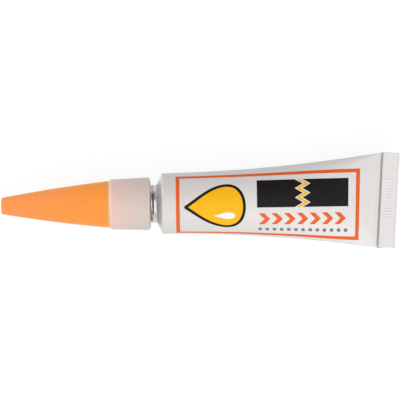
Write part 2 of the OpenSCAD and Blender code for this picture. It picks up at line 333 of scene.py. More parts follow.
def dents(grid, stations):
    """How far each point of the sleeve is pushed in, at most half way to the middle of the section."""
    share = np.clip(stations / SLEEVE_L, 0, 1)[:, None]
    middle_z = AXIS_Z - np.array([sag(s) for s in share[:, 0]])[:, None]
    room = np.abs(grid[:, :, 2] - middle_z)
    depth = np.zeros(grid.shape[:2])
    for i, row in enumerate(grid):
        for j, point in enumerate(row):
            depth[i, j] = 0.5 + 0.5 * noise.noise(Vector(point / DENT_SIZE))
    depth *= DENT_DEPTH * share * (1 - share ** DENT_FADE_POWER)
    reach = np.clip((share - VALLEY_START) / (1 - VALLEY_START), 0, 1)
    across = np.abs(grid[:, :, 1]) / half_width(share)
    middle = VALLEY_MIDDLE + VALLEY_SPREAD * reach
    fade = 1 - reach ** VALLEY_FADE_POWER
    depth += VALLEY_DEPTH * reach * fade * np.exp(-((across - middle) / VALLEY_W) ** 2)
    off_line = (stations[:, None] - CREASE_X - CREASE_LEAN * (grid[:, :, 1] - CREASE_Y)) / CREASE_W
    off_middle = (grid[:, :, 1] - CREASE_Y) / CREASE_SPAN
    depth += CREASE_DEPTH * np.exp(-off_line ** 2 - off_middle ** 4)
    depth *= room / np.maximum(room + 2 * depth, TINY)
    left = np.clip(1 - stations / SHOULDER_ROUNDING, 0, 1)[:, None]
    return depth + SHOULDER_DROP * (1 - np.sqrt(1 - left ** 2))


# The sleeve's rows crowd at the rounded shoulder edge
edge_rows = np.linspace(0, SHOULDER_ROUNDING, EDGE_ROWS)
plain_rows = np.linspace(SHOULDER_ROUNDING, SLEEVE_L, SLEEVE_ROWS)[1:]
STATIONS = np.concatenate([edge_rows, plain_rows])
rings = [section(x, 0, SLEEVE_SIDES) for x in STATIONS]
smooth_sleeve = np.array([ring for ring, girth in rings])
GIRTHS = np.array([girth for ring, girth in rings])
push = dents(smooth_sleeve, STATIONS)[:, :, None]
SLEEVE = smooth_sleeve - push * grid_normals(smooth_sleeve)
SLEEVE_NORMALS = grid_normals(SLEEVE)


def on_sleeve(x, v, lift):
    """Points on the sleeve at x and at an arc v from its top line, lifted off it, and their normals."""
    row = np.interp(x, STATIONS, np.arange(len(STATIONS)))
    column = (v / np.interp(x, STATIONS, GIRTHS) * SLEEVE_SIDES) % SLEEVE_SIDES
    i = np.minimum(row.astype(int), len(STATIONS) - 2)
    j = column.astype(int)
    a, b = (row - i)[:, None], (column - j)[:, None]
    k = (j + 1) % SLEEVE_SIDES

    def blend(grid):
        near = grid[i, j] * (1 - b) + grid[i, k] * b
        far = grid[i + 1, j] * (1 - b) + grid[i + 1, k] * b
        return near * (1 - a) + far * a

    normals = blend(SLEEVE_NORMALS)
    return blend(SLEEVE) + lift * normals, normals


# Materials

# Colours of the metal and its enamel
ENAMEL_DARK = (0.62, 0.59, 0.555)
ENAMEL_LIGHT = (0.68, 0.65, 0.615)
# Painted light: paler enamel colour laid on towards the tail, where the sleeve looks brighter
ENAMEL_PAINTED_LIGHT = (0.735, 0.71, 0.685)
SCRATCH_GREY = (0.5, 0.5, 0.5)
WORN_METAL = (0.62, 0.62, 0.63)
# Painted shade: dark colour painted in the crease of the tail fold, where shade falls
FOLD_PAINTED_SHADE = (0.10, 0.095, 0.095)
# Painted shade: dark colour painted in the upper part of the notch at the neck's foot
NOTCH_PAINTED_SHADE = (0.10, 0.085, 0.08)
FOIL_DARK = (0.66, 0.66, 0.67)
FOIL_LIGHT = (0.8, 0.8, 0.81)
# Colours of what is inside
LATEX_DARK = (0.5, 0.4, 0.24)
LATEX_LIGHT = (0.62, 0.52, 0.34)
GLUE_CLOUD = (0.93, 0.96, 0.95)
GLUE_CLEAR = (0.985, 0.99, 0.985)
# How softly scratches start
SCRATCH_SOFTNESS = 0.03
# Painted light: the enamel is painted paler towards the tail, where the sleeve looks brighter: from where
# to where, and by how much
PAINTED_LIGHT_X = (SHOULDER_X + 4, SHOULDER_X + 40)
PAINTED_LIGHT_SHARE = 0.85
# Painted shade in the notch at the neck's foot, on its upper part only: its middle, the distances from
# that where the painted shade starts and ends to fade, the heights between which it gets dark, and how
# dark it is
NOTCH_X = SHOULDER_X - FOOT_U - 0.04
NOTCH_FADE = (0.17, 0.25)
NOTCH_Z = (AXIS_Z + 3.1, AXIS_Z + 3.5)
NOTCH_SHARE = 0.95


def new_material(name):
    """Returns a new material, its node tree and its shader."""
    material = bpy.data.materials.new(name)
    material.use_nodes = True
    return material, material.node_tree, material.node_tree.nodes["Principled BSDF"]


def add_node(tree, kind, inputs=None, **settings):
    """Adds a shader node. An input is a plain value or another node's output."""
    made = tree.nodes.new("ShaderNode" + kind)
    for name, value in settings.items():
        setattr(made, name, value)
    for name, value in (inputs or {}).items():
        socket = made.inputs[name]
        if isinstance(value, bpy.types.NodeSocket):
            tree.links.new(value, socket)
        else:
            socket.default_value = value
    return made


def set_shader(tree, shader, **inputs):
    """Sets or links inputs of a shader, named with _ for a space."""
    for name, value in inputs.items():
        socket = shader.inputs[name.replace("_", " ")]
        if isinstance(value, bpy.types.NodeSocket):
            tree.links.new(value, socket)
        else:
            socket.default_value = value


def place(tree, stretch=(1, 1, 1)):
    """Object coordinates in millimetres, squeezed by stretch along each axis."""
    spot = add_node(tree, "TexCoord").outputs["Object"]
    scale = [part / MM for part in stretch]
    return add_node(tree, "Mapping", {"Vector": spot, "Scale": scale}).outputs["Vector"]


def grain(tree, spot, size, detail=2):
    """Noise whose spots are about size millimetres across."""
    inputs = {"Vector": spot, "Scale": 1 / size, "Detail": detail}
    return add_node(tree, "TexNoise", inputs).outputs["Fac"]


def spread(tree, value, low, high, start=0.3, end=0.7):
    """Maps values from start to end on values from low to high."""
    inputs = {"Value": value, "From Min": start, "From Max": end, "To Min": low, "To Max": high}
    return add_node(tree, "MapRange", inputs).outputs["Result"]


def calculate(tree, operation, *values):
    """Result of a sum or the like."""
    return add_node(tree, "Math", dict(enumerate(values)), operation=operation).outputs["Value"]


def tint(tree, share, first, second):
    """Mixes two colours."""
    mix = add_node(tree, "Mix", data_type="RGBA")
    tree.links.new(share, mix.inputs["Factor"])
    mix.inputs["A"].default_value = (*first, 1)
    mix.inputs["B"].default_value = (*second, 1)
    return mix.outputs["Result"]


def overlay(tree, share, under, colour):
    """Lays a plain colour over a linked one."""
    mix = add_node(tree, "Mix", data_type="RGBA")
    tree.links.new(share, mix.inputs["Factor"])
    tree.links.new(under, mix.inputs["A"])
    mix.inputs["B"].default_value = (*colour, 1)
    return mix.outputs["Result"]


def bump(tree, height, depth, under=None):
    """Bumps of a depth in millimetres, over other bumps if there are any."""
    inputs = {"Height": height, "Strength": 1.0, "Distance": depth * MM}
    if under is not None:
        inputs["Normal"] = under
    return add_node(tree, "Bump", inputs).outputs["Normal"]


def scratches(tree, stretch, size, rarity):
    """Mask of fine scratches along the axis that stretch keeps long."""
    streaks = grain(tree, place(tree, stretch), size, detail=3)
    return spread(tree, streaks, 0, 1, start=rarity, end=rarity + SCRATCH_SOFTNESS)


def enamel():
    """Satin white enamel on aluminium, worn where a piece's attributes say so, and with painted shade
    where they say so.
    """
    material, tree, shader = new_material("white_enamel")
    spot = place(tree)
    colour = tint(tree, grain(tree, spot, size=5, detail=4), ENAMEL_DARK, ENAMEL_LIGHT)
    x = add_node(tree, "SeparateXYZ", {"Vector": spot}).outputs["X"]
    # Painted light: paler towards the tail
    colour = overlay(tree, spread(tree, x, 0, PAINTED_LIGHT_SHARE, *PAINTED_LIGHT_X), colour, ENAMEL_PAINTED_LIGHT)
    fine_scratch = scratches(tree, stretch=(0.12, 1, 1), size=0.12, rarity=0.7)
    faint_scratch = spread(tree, fine_scratch, low=0, high=0.25, start=0, end=1)
    colour = overlay(tree, faint_scratch, colour, SCRATCH_GREY)
    edge = add_node(tree, "Attribute", attribute_name="wear").outputs["Fac"]
    chips = spread(tree, grain(tree, spot, size=0.35, detail=4), low=0.2, high=1.6)
    chipped = calculate(tree, "MULTIPLY", edge, chips)
    worn = spread(tree, chipped, low=0, high=1, start=0.55, end=0.75)
    colour = overlay(tree, worn, colour, WORN_METAL)
    # Painted shade along the fold line, where the sleeve's attribute says so
    painted_crease_shade = add_node(tree, "Attribute", attribute_name="painted_crease_shade").outputs["Fac"]
    colour = overlay(tree, painted_crease_shade, colour, FOLD_PAINTED_SHADE)
    rough = spread(tree, grain(tree, spot, size=2.5, detail=3), low=0.38, high=0.5)
    peel = bump(tree, grain(tree, spot, size=0.6, detail=1), depth=0.006)
    peel = bump(tree, grain(tree, spot, size=3.5), depth=0.03, under=peel)
    set_shader(
        tree, shader, Base_Color=colour, Roughness=rough, Metallic=worn, Normal=peel,
        Coat_Weight=0.05, Coat_Roughness=0.25)
    return material


def bare_aluminium(name, dark, light, smooth, rough):
    """Aluminium with turning marks round the axis, and painted shade in the upper part of the notch."""
    material, tree, shader = new_material(name)
    spot = place(tree)
    marks = grain(tree, place(tree, stretch=(9, 0.25, 0.25)), size=1, detail=3)
    normal = bump(tree, marks, depth=0.005)
    normal = bump(tree, grain(tree, spot, size=1.6), depth=0.015, under=normal)
    parts = add_node(tree, "SeparateXYZ", {"Vector": spot})
    off = calculate(tree, "ABSOLUTE", calculate(tree, "SUBTRACT", parts.outputs["X"], NOTCH_X))
    near = spread(tree, off, 1, 0, *NOTCH_FADE)
    upper = spread(tree, parts.outputs["Z"], 0, NOTCH_SHARE, *NOTCH_Z)
    colour = tint(tree, grain(tree, spot, size=1.2, detail=4), dark, light)
    # Painted shade in the upper part of the notch
    colour = overlay(tree, calculate(tree, "MULTIPLY", near, upper), colour, NOTCH_PAINTED_SHADE)
    roughness = spread(tree, grain(tree, spot, size=0.8, detail=3), smooth, rough)
    set_shader(tree, shader, Base_Color=colour, Roughness=roughness, Normal=normal, Metallic=0.85)
    return material


def foil():
    """Thin drawn aluminium with a soft crinkle."""
    material, tree, shader = new_material("membrane_foil")
    spot = place(tree)
    colour = tint(tree, grain(tree, spot, size=0.6, detail=3), FOIL_DARK, FOIL_LIGHT)
    rough = spread(tree, grain(tree, spot, size=0.3), low=0.2, high=0.36)
    normal = bump(tree, grain(tree, spot, size=0.5, detail=3), depth=0.02)
    set_shader(tree, shader, Base_Color=colour, Roughness=rough, Normal=normal, Metallic=1.0)
    return material


def ink(name, dark, light):
    """Printing ink with slightly uneven cover."""
    material, tree, shader = new_material(name)
    spot = place(tree)
    colour = tint(tree, grain(tree, spot, size=1.1, detail=5), dark, light)
    rough = spread(tree, grain(tree, spot, size=0.7, detail=3), low=0.4, high=0.55)
    normal = bump(tree, grain(tree, spot, size=0.6, detail=1), depth=0.006)
    normal = bump(tree, grain(tree, spot, size=3.5), depth=0.03, under=normal)
    set_shader(
        tree, shader, Base_Color=colour, Roughness=rough, Normal=normal, Specular_IOR_Level=0.15)
    return material


def polyethylene(name, stops, depth):
    """Milky moulded plastic, whose colour changes along the tube through stops of (x, colour)."""
    material, tree, shader = new_material(name)
    spot = place(tree)
    x = add_node(tree, "SeparateXYZ", {"Vector": spot}).outputs["X"]
    first, last = stops[0][0], stops[-1][0]
    ramp = add_node(tree, "ValToRGB", {"Fac": spread(tree, x, 0, 1, first, last)})
    elements = ramp.color_ramp.elements
    elements[0].color, elements[1].color = (*stops[0][1], 1), (*stops[-1][1], 1)
    for at, shade in stops[1:-1]:
        elements.new((at - first) / (last - first)).color = (*shade, 1)
    cloud = spread(tree, grain(tree, spot, size=4, detail=3), low=0, high=0.12)
    colour = overlay(tree, cloud, ramp.outputs["Color"], stops[-1][1])
    rough = spread(tree, grain(tree, spot, size=0.8, detail=3), low=0.38, high=0.5)
    flow = grain(tree, place(tree, stretch=(0.3, 1, 1)), size=1.4)
    normal = bump(tree, grain(tree, spot, size=0.16, detail=1), depth=0.003)
    normal = bump(tree, flow, depth=0.012, under=normal)
    set_shader(
        tree, shader, Base_Color=colour, Roughness=rough, Normal=normal, Specular_IOR_Level=0.3,
        Subsurface_Weight=0.6, Subsurface_Radius=(1.0, 0.72, 0.55), Subsurface_Scale=depth * MM)
    return material


def latex():
    """Dull tan sealing band."""
    material, tree, shader = new_material("sealing_latex")
    spot = place(tree)
    colour = tint(tree, grain(tree, spot, size=1.5, detail=4), LATEX_DARK, LATEX_LIGHT)
    rough = spread(tree, grain(tree, spot, size=0.5), low=0.55, high=0.75)
    normal = bump(tree, grain(tree, spot, size=0.4), depth=0.02)
    set_shader(tree, shader, Base_Color=colour, Roughness=rough, Normal=normal)
    return material


def glue():
    """Thin clear liquid with a trace of cloud."""
    material, tree, shader = new_material("clear_adhesive")
    spot = place(tree)
    colour = tint(tree, grain(tree, spot, size=6, detail=3), GLUE_CLOUD, GLUE_CLEAR)
    rough = spread(tree, grain(tree, spot, size=3), low=0.0, high=0.04)
    set_shader(tree, shader, Base_Color=colour, Roughness=rough, IOR=1.44, Transmission_Weight=1.0)
    return material


ENAMEL = enamel()
SHOULDER_METAL = bare_aluminium(
    "drawn_aluminium", dark=(0.69, 0.65, 0.635), light=(0.83, 0.79, 0.775), smooth=0.4, rough=0.52)
NECK_METAL = bare_aluminium(
    "turned_aluminium", dark=(0.56, 0.53, 0.52), light=(0.70, 0.67, 0.66), smooth=0.24, rough=0.36)
ORANGE = ink("orange_ink", dark=(0.71, 0.105, 0.012), light=(0.79, 0.125, 0.018))
BLACK = ink("black_ink", dark=(0.004, 0.003, 0.003), light=(0.010, 0.008, 0.007))
YELLOW = ink("yellow_ink", dark=(0.86, 0.42, 0.004), light=(0.93, 0.49, 0.009))
GREY = ink("grey_ink", dark=(0.15, 0.15, 0.155), light=(0.22, 0.22, 0.225))
WHITE = ink("white_ink", dark=(0.80, 0.79, 0.77), light=(0.86, 0.85, 0.83))
# The spout is natural. The seat and flange are painted peach, and the collar has a painted orange glow
# that fades away from the rim the cap sits on: painted light that stands in for light passed on by the
# orange cap
SPOUT_END_X = SHOULDER_X - SEAT_U
SPOUT_BLEND = 0.05
RIM_END_X = SHOULDER_X - FLANGE_U + COLLAR_CHAMFER
RIM_BLEND = 0.25
MILKY = (0.66, 0.61, 0.56)
PAINTED_CAP_GLOW = (1.0, 0.60, 0.38)
PAINTED_GLOW_FADING = (0.76, 0.55, 0.48)
PALE_COLLAR = (0.60, 0.545, 0.49)
nozzle_stops = [
    (nozzle_low[0], MILKY), (SPOUT_END_X - SPOUT_BLEND, MILKY), (SPOUT_END_X + SPOUT_BLEND, PAINTED_CAP_GLOW),
    (RIM_END_X, PAINTED_CAP_GLOW), (RIM_END_X + RIM_BLEND, PAINTED_GLOW_FADING), (nozzle_high[0], PALE_COLLAR)]
NATURAL = polyethylene("natural_polyethylene", nozzle_stops, depth=1.6)
CAP_END_ORANGE = (0.98, 0.305, 0.085)
CAP_RIM_ORANGE = (0.98, 0.32, 0.04)
cap_stops = [(cap_low[0], CAP_END_ORANGE), (cap_high[0], CAP_RIM_ORANGE)]
CAP_ORANGE = polyethylene("orange_polyethylene", cap_stops, depth=0.6)


# Tube

# Painted shade: a dark line painted in the crease of the fold, where shade falls: where it starts, how
# fast it fades in, and how dark it is
CREASE_SHADE_X = SLEEVE_L - 0.34
CREASE_SHADE_FADE = 0.1
CREASE_SHADE_SHARE = 0.75
# Length of the worn line at the shoulder edge, and how far the sheet's end stays inside the fold
EDGE_WEAR_L = 0.25
ROOT_INSET = 0.02


def mark(piece, name, values):
    """Tells the enamel where it is worn or where shade is painted, one value a point."""
    attribute = piece.data.attributes.new(name, "FLOAT", "POINT")
    attribute.data.foreach_set("value", np.asarray(values, np.float32).ravel())


def add_sleeve():
    """Thin sheet that is open at the shoulder and pressed shut at the tail."""
    reach = np.concatenate([STATIONS[:-1] * (SLEEVE_L - PINCH_L) / SLEEVE_L, [SLEEVE_L - PINCH_L]])
    inside = np.array([section(x, WALL, SLEEVE_SIDES)[0] for x in reach])
    inside = inside - push * SLEEVE_NORMALS
    root = section(SLEEVE_L + FOLD_W / 4, ROOT_INSET, SLEEVE_SIDES)[0]
    rows = np.concatenate([inside[::-1], SLEEVE, root[None]])
    count = len(rows)
    faces = grid_faces(count, SLEEVE_SIDES)
    half = SLEEVE_SIDES // 2
    for start in (0, (count - 1) * SLEEVE_SIDES):
        for j in range(half):
            ring = (j, j + 1, SLEEVE_SIDES - j - 1, (SLEEVE_SIDES - j) % SLEEVE_SIDES)
            faces.append(tuple(start + k for k in dict.fromkeys(ring)))
    piece = add_piece(
        "tube_sleeve", rows.reshape(-1, 3), faces, "tube", ENAMEL, "enamelled_aluminium", "tube_shell")
    near_edge = np.maximum(0, 1 - np.abs(rows[:, :, 0] - SHOULDER_X) / EDGE_WEAR_L)
    mark(piece, "wear", near_edge)
    lines = np.concatenate([reach[::-1], STATIONS, [SLEEVE_L]])
    # Painted shade: a dark line in the crease of the fold
    painted_crease_shade = np.clip((lines - CREASE_SHADE_X) / CREASE_SHADE_FADE, 0, CREASE_SHADE_SHARE)
    mark(piece, "painted_crease_shade", np.repeat(painted_crease_shade, SLEEVE_SIDES))


# How far the neck's thread runs on into the neck's foot, the neck's radius and the end of that
# stretch, and the length of the collar that has no thread, for it to pass
THREAD_RUN_IN = 0.5
RUN_OUT_R = 3.78
RUN_OUT_U = COLLAR_U + 0.05
RUN_OUT_ROOM = 1.2
# Rounded corners of the head
SHOULDER_EDGE_ROUND = 0.04
HOLLOW_ROUND = 0.1
FOOT_ROUND = 0.12
MOUTH_ROUND = 0.06
LIP_ROUND = 0.04


def add_head():
    """Shoulder, neck and mouth of bare metal, and the thread on the neck."""
    shoulder_r = BODY_R - WALL / 2
    rim_r = BODY_R - WALL - RIM_T
    rim_u = -SHOULDER_T - RIM_L
    bore_r = CORE_R - NECK_WALL
    lip_hole_r = MEMBRANE_R + MEMBRANE_GAP
    profile = outline([
        (rim_r, rim_u, 0), (shoulder_r, rim_u, 0), (shoulder_r, EDGE_H, SHOULDER_EDGE_ROUND),
        (FOOT_R, SHOULDER_H, HOLLOW_ROUND), (FOOT_R, FOOT_U, FOOT_ROUND),
        (RUN_OUT_R, RUN_OUT_U, HOLLOW_ROUND),
        (CORE_R, RUN_OUT_U + RUN_OUT_R - CORE_R, HOLLOW_ROUND),
        (CORE_R, MOUTH_U - MOUTH_CHAMFER, MOUTH_ROUND), (CORE_R - MOUTH_CHAMFER, MOUTH_U, MOUTH_ROUND),
        (lip_hole_r, MOUTH_U, LIP_ROUND), (lip_hole_r, MOUTH_U - LIP_T, 0), (bore_r, MOUTH_U - LIP_T, 0),
        (bore_r, SHOULDER_H - SHOULDER_T, HOLLOW_ROUND), (rim_r, -SHOULDER_T, 0)])
    head = add_piece(
        "tube_head", *revolve(profile, True), "tube", NECK_METAL, "enamelled_aluminium", "tube_shell")
    head.data.materials.append(SHOULDER_METAL)
    for face in head.data.polygons:
        face.material_index = int(face.center.x / MM > SHOULDER_X - SHOULDER_H)
    thread = helix(THREAD_U - THREAD_RUN_IN, THREAD_END_U, THREAD_U, CORE_R - THREAD_PLAY, NECK_R)
    add_piece("neck_thread", *thread, "tube", NECK_METAL, "enamelled_aluminium", "tube_shell")


# Tail fold: its breadth, its overlap with the sleeve, the spacing of its points and its worn ends
STRIP_W = TAIL_W - 0.01
FOLD_OVERLAP = 0.05
FOLD_STEP = 0.13
FOLD_ROWS = 260
END_WEAR_L = 0.2
# Waves in the fold's edge and in its height: their size, their lengths and their places in the noise
FOLD_WAVE = 0.07
LIFT_SHARE = 0.6
EDGE_WAVE_L = 5
LIFT_WAVE_L = 7
EDGE_NOISE = (0.3, 0.7)
LIFT_NOISE = (4.1, 0.2)
# Crimp marks: height, spacing, width and length of a bar, the slopes at its ends and sides, and the
# places and the breadth of the groups
CRIMP_H = 0.11
CRIMP_PITCH = 0.62
CRIMP_W = 0.3
CRIMP_L = 1.6
CRIMP_END = 0.2
CRIMP_SLOPE = 0.16
CRIMP_GROUPS = (5.6, 1.6, -2.6)
GROUP_SPAN = 2.5


def fold_path():
    """Middle line of the double layer from the fold line on.

    A row holds x, the height, the outward direction along x and upwards, and 1 for the top layer.
    """
    crease_r = LAYER_STEP / 2
    bend_x = SLEEVE_L + FOLD_W - LAYER_STEP - LAYER_T / 2
    crease_x = SLEEVE_L + crease_r + LAYER_T / 2
    path = []

    def straight(x0, x1, height, up, top):
        steps = math.ceil(abs(x1 - x0) / FOLD_STEP)
        for x in np.linspace(x0, x1, steps, endpoint=False):
            path.append((x, height, 0, up, top))

    def turn(x, height, radius, start, end):
        for angle in np.linspace(start, end, 2 * ARC_STEPS, endpoint=False):
            across, up = math.cos(angle), math.sin(angle)
            path.append((x + radius * across, height + radius * up, across, up, 0))

    straight(SLEEVE_L - FOLD_OVERLAP, bend_x, 0, -1, 0)
    turn(bend_x, LAYER_STEP, LAYER_STEP, -math.pi / 2, math.pi / 2)
    straight(bend_x, crease_x, 2 * LAYER_STEP, 1, 1)
    turn(crease_x, LAYER_STEP + crease_r, crease_r, math.pi / 2, 1.5 * math.pi)
    straight(crease_x, bend_x - LAYER_T / 2, LAYER_STEP, -1, 0)
    path.append((bend_x - LAYER_T / 2, LAYER_STEP, 0, -1, 0))
    return np.array(path)


def crimp_marks(x, y):
    """Rise of groups of short raised bars that cross the middle of the strip."""
    off_group = min((y - middle for middle in CRIMP_GROUPS), key=abs)
    if abs(off_group) > GROUP_SPAN / 2:
        return 0 * x
    along = np.clip((CRIMP_L / 2 - np.abs(x - STRIP_X)) / CRIMP_END, 0, 1)
    off_bar = (off_group + CRIMP_PITCH / 2) % CRIMP_PITCH - CRIMP_PITCH / 2
    across = np.clip((CRIMP_W / 2 - abs(off_bar)) / CRIMP_SLOPE + 0.5, 0, 1)
    return CRIMP_H * along * across


def add_tail_fold():
    """Pressed tail, folded over twice, with a slightly wavy edge and crimp marks."""
    path = fold_path()
    x, z, across, up, top = path.T
    rows = []
    for y in np.linspace(-STRIP_W / 2, STRIP_W / 2, FOLD_ROWS):
        wave = FOLD_WAVE * noise.noise(Vector((y / EDGE_WAVE_L, *EDGE_NOISE))) - FOLD_WAVE / 2
        waved_x = x + wave * np.clip((x - SLEEVE_L) / FOLD_W, 0, 1)
        lift = LIFT_SHARE * FOLD_WAVE * noise.noise(Vector((y / LIFT_WAVE_L, *LIFT_NOISE)))
        lift = lift * np.clip(z / LAYER_STEP, 0, 1)
        sides = []
        for side in (1, -1):
            thick = side * LAYER_T / 2 + (top * crimp_marks(x, y) if side > 0 else 0)
            at_x, at_z = waved_x + across * thick - STRIP_X, z + lift + up * thick
            turned_x = STRIP_X + at_x * math.cos(FOLD_SKEW) + y * math.sin(FOLD_SKEW)
            turned_y = y * math.cos(FOLD_SKEW) - at_x * math.sin(FOLD_SKEW)
            sides.append(np.stack([SHOULDER_X + turned_x, turned_y, AXIS_Z + at_z], axis=-1))
        rows.append(np.concatenate([sides[0], sides[1][::-1]]))
    size = len(path)
    faces = grid_faces(FOLD_ROWS, 2 * size)
    for start in (0, (FOLD_ROWS - 1) * 2 * size):
        for i in range(size - 1):
            other = start + 2 * size - 1 - i
            faces.append((start + i, start + i + 1, other - 1, other))
    points = np.concatenate(rows)
    piece = add_piece("tail_fold", points, faces, "tube", ENAMEL, "enamelled_aluminium", "tube_shell")
    from_end = [STRIP_W / 2 - abs(vert.co.y / MM) for vert in piece.data.vertices]
    mark(piece, "wear", [max(0, 1 - distance / END_WEAR_L) for distance in from_end])


# What is inside the sleeve: how far it stays from the sleeve's outside, its share of the breadth, and
# the gap between the glue and the rim of the shoulder
SEAL_INSET = 0.2
SEAL_BREADTH = 0.9
GLUE_INSET = 0.42
GLUE_BREADTH = 0.97
GLUE_GAP = 0.2


def add_filling(name, x0, x1, inset, level, breadth, material, slot, node):
    """Solid that fills a breadth of the sleeve from x0 to x1, up to a level above the axis."""
    stations = np.linspace(x0, x1, FILLING_ROWS)
    rings = np.array([section(x, inset, FILLING_SIDES)[0] for x in stations])
    rings -= dents(rings, stations)[:, :, None] * grid_normals(rings)
    rings[:, :, 1] *= breadth
    rings[:, :, 2] = np.minimum(rings[:, :, 2], AXIS_Z + level)
    faces = grid_faces(FILLING_ROWS, FILLING_SIDES)
    last = (FILLING_ROWS - 1) * FILLING_SIDES
    faces += [tuple(range(FILLING_SIDES)), tuple(range(last, last + FILLING_SIDES))]
    add_piece(name, rings.reshape(-1, 3), faces, "tube", material, slot, node)


# Nozzle and cap

# Thickness of the cap's end, and the depth and the radii of the gate mark in it
CAP_END_T = 1
GATE_DEPTH = 0.08
GATE_R = 0.3
GATE_RIM_R = 0.36
# Rounded corners of the nozzle
OUTLET_ROUND = 0.05
TIP_ROUND = 0.12
SEAT_ROUND = 0.05
SEAT_HOLLOW_ROUND = 0.03
FLANGE_ROUND = 0.06
COLLAR_ROUND = 0.16
BEVEL_ROUND = 0.07
SOCKET_MOUTH_ROUND = 0.08
SOCKET_END_ROUND = 0.2
SPIKE_FOOT_ROUND = 0.1
SPIKE_TIP_ROUND = 0.04
# Rounded corners of the cap
GATE_ROUND = 0.03
CAP_RIM_ROUND = 0.09
CAP_BORE_ROUND = 0.12
STOPPER_FOOT_ROUND = 0.1
STOPPER_ROUND = 0.12


def spout_side(u):
    """Radius of the spout at a height."""
    share = (SPOUT_U - u) / (SPOUT_U - SEAT_U)
    tip_r = OUTLET_R + TIP_WALL
    return tip_r + (CAP_BORE_R - SPOUT_GAP - tip_r) * (share + BULGE * share * (1 - share))


def add_nozzle():
    """Collar with its threaded socket, seat, land, spout, channel and piercing spike."""
    collar_r = GROOVE_R + COLLAR_WALL
    end_r = collar_r - COLLAR_DRAFT
    land_r = CAP_BORE_R - CAP_FIT
    spike_tip_u = MOUTH_U + SPIKE_GAP
    heights = np.linspace(SPOUT_U, SEAT_U + LAND_L, SPOUT_STEPS)
    spout = [(spout_side(u), u, 0) for u in heights[1:]]
    profile = outline([
        (OUTLET_R, SPOUT_U, OUTLET_ROUND), (OUTLET_R + TIP_WALL, SPOUT_U, TIP_ROUND), *spout,
        (land_r, SEAT_U + LAND_L - CAP_FIT, 0), (land_r, SEAT_U, 0), (CAP_R, SEAT_U, SEAT_ROUND),
        (CAP_R, FLANGE_U, SEAT_HOLLOW_ROUND), (end_r - COLLAR_CHAMFER, FLANGE_U, FLANGE_ROUND),
        (end_r, FLANGE_U - COLLAR_CHAMFER, COLLAR_ROUND),
        (collar_r, COLLAR_U + BEVEL_L, BEVEL_ROUND), (collar_r - BEVEL_T, COLLAR_U, BEVEL_ROUND),
        (SOCKET_MOUTH_R, COLLAR_U, SOCKET_MOUTH_ROUND), (SOCKET_MOUTH_R, STEP_U, 0),
        (GROOVE_R, STEP_U, 0), (GROOVE_R, SOCKET_U, SOCKET_END_ROUND),
        (MEMBRANE_R - SPIKE_ROOM, SOCKET_U, SPIKE_FOOT_ROUND),
        (SPIKE_BORE_R + SPIKE_WALL, spike_tip_u, SPIKE_TIP_ROUND),
        (SPIKE_BORE_R, spike_tip_u, SPIKE_TIP_ROUND), (SPIKE_BORE_R, FLANGE_U, 0),
        (CHANNEL_R, FLANGE_U, 0), (OUTLET_R, SPOUT_U - OUTLET_L, 0)])
    add_piece(
        "nozzle_moulding", *revolve(profile, True), "nozzle", NATURAL, "natural_polyethylene", "nozzle")
    thread = helix(
        STEP_U + RIDGE_FOOT_W / 2 + RUN_OUT_ROOM, THREAD_END_U, THREAD_U + PITCH / 2,
        GROOVE_R + THREAD_PLAY, CORE_R + THREAD_PLAY)
    add_piece("nozzle_thread", *thread, "nozzle", NATURAL, "natural_polyethylene", "nozzle")


def add_cap():
    """Tapered cap with its bore, its stopper pin and the mark of its mould's gate."""
    inner_u = CAP_U - CAP_END_T
    gate_u = CAP_U - GATE_DEPTH
    land_u = SEAT_U + LAND_L
    stopper_r = OUTLET_R - CAP_FIT
    stopper_u = SPOUT_U - STOPPER_L
    tip_r = spout_side(CAP_U) + SPOUT_GAP + CAP_WALL
    rim_r = spout_side(CAP_RIM_U) + SPOUT_GAP + CAP_WALL
    # The first two heights and the last one are left to the rounded corners there
    heights = np.linspace(CAP_U, CAP_RIM_U, CAP_STEPS)[2:-1]
    outside = [(spout_side(u) + SPOUT_GAP + CAP_WALL, u, 0) for u in heights]
    inside = [(spout_side(u) + SPOUT_GAP, u, 0) for u in np.linspace(land_u, inner_u, SPOUT_STEPS)]
    profile = outline([
        (0, gate_u, 0), (GATE_R, gate_u, GATE_ROUND), (GATE_RIM_R, CAP_U, GATE_ROUND),
        (tip_r, CAP_U, CAP_EDGE), *outside, (rim_r, CAP_RIM_U, CAP_RIM_ROUND),
        (CAP_BORE_R, CAP_RIM_U, CAP_BORE_ROUND), (CAP_BORE_R, land_u, 0), *inside,
        (stopper_r, inner_u, STOPPER_FOOT_ROUND), (stopper_r, stopper_u, STOPPER_ROUND),
        (0, stopper_u, 0)])
    add_piece("cap_moulding", *revolve(profile, False), "cap", CAP_ORANGE, "orange_polyethylene", "cap")


# Print on the sleeve, in a flat plan of x along the tube and v round it from the top line

# Ink: thickness of a layer, how deep its underside is sunk in the sleeve, the size of its cells, and
# the distance in the plan under which points become one
INK_T = 0.011
INK_SUNK = 0.03
CUT_X = 0.4
CUT_V = 0.25
PLAN_MERGE = 0.002
# Border of the label: where it starts and ends, and its line
LABEL_X = (2.9, 42.2)
LABEL_V = (-8.6, 6.9)
LABEL_LINE = 0.8
# Slenderness of a drop's tip, the breadth of its plain curve, and the corners of a dot
DROP_POWER = 1.4
DROP_SPAN = 1.46
DOT_SIDES = 24


